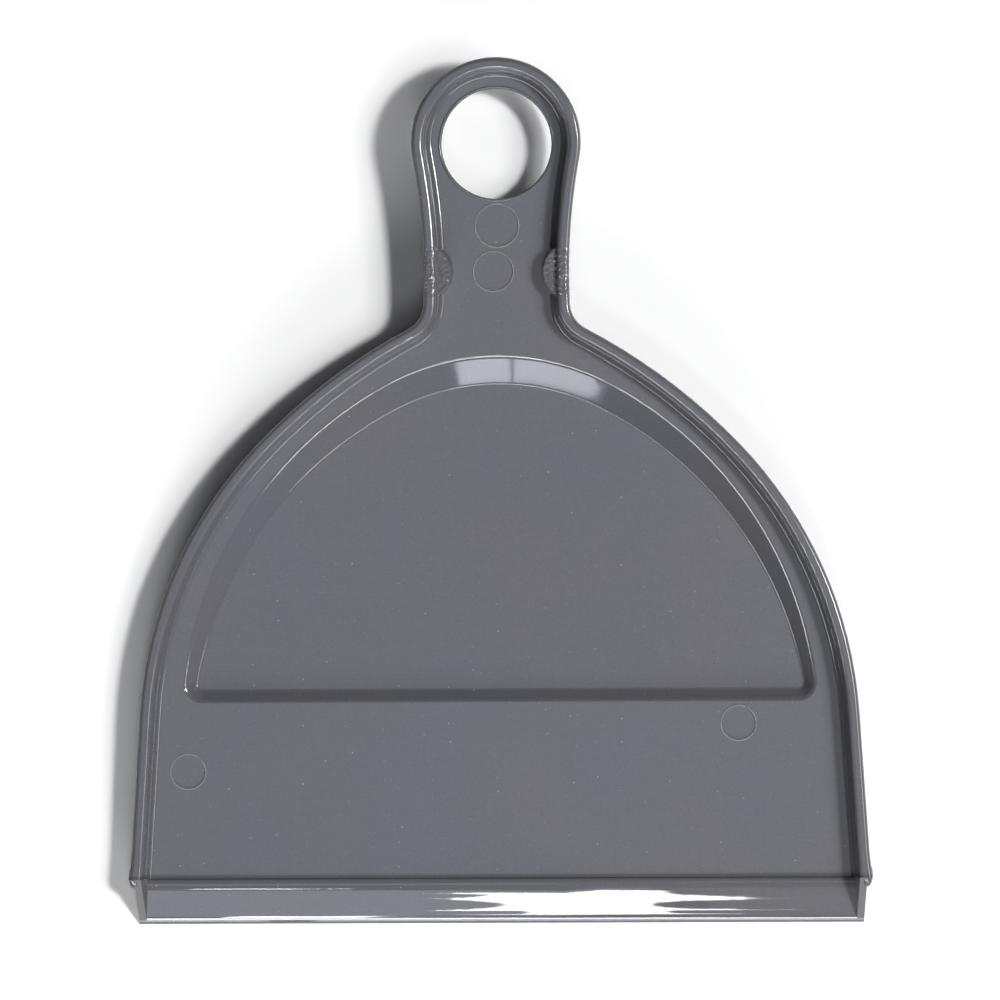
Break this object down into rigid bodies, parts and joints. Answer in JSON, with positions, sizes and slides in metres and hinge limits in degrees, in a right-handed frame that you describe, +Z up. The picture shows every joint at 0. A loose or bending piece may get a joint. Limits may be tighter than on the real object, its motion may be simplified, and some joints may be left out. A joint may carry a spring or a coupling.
{
  "type": "crumb sweeper dustpan",
  "caption": "Small moulded dustpan of a crumb sweeper: domed tray with beaded rim, recessed well, sloping front lip, and a channel handle with a hanging hole and brush clip.",
  "frame": {"origin": "on the table, under the centre of the pan's bounding box", "axes": "+Y from the mouth to the handle, +Z up from the table, +X to the right with the handle away from the user"},
  "size_m": [0.1692, 0.1966, 0.016],
  "materials": {
    "pan_plastic": "glossy moulded grey plastic with fine scratches and ejector pin marks",
    "lip_plastic": "glossy moulded grey plastic with a slightly wavy surface"
  },
  "bodies": {
    "root": {"pan": "pan_plastic", "front_lip": "lip_plastic"}
  },
  "joints": []
}
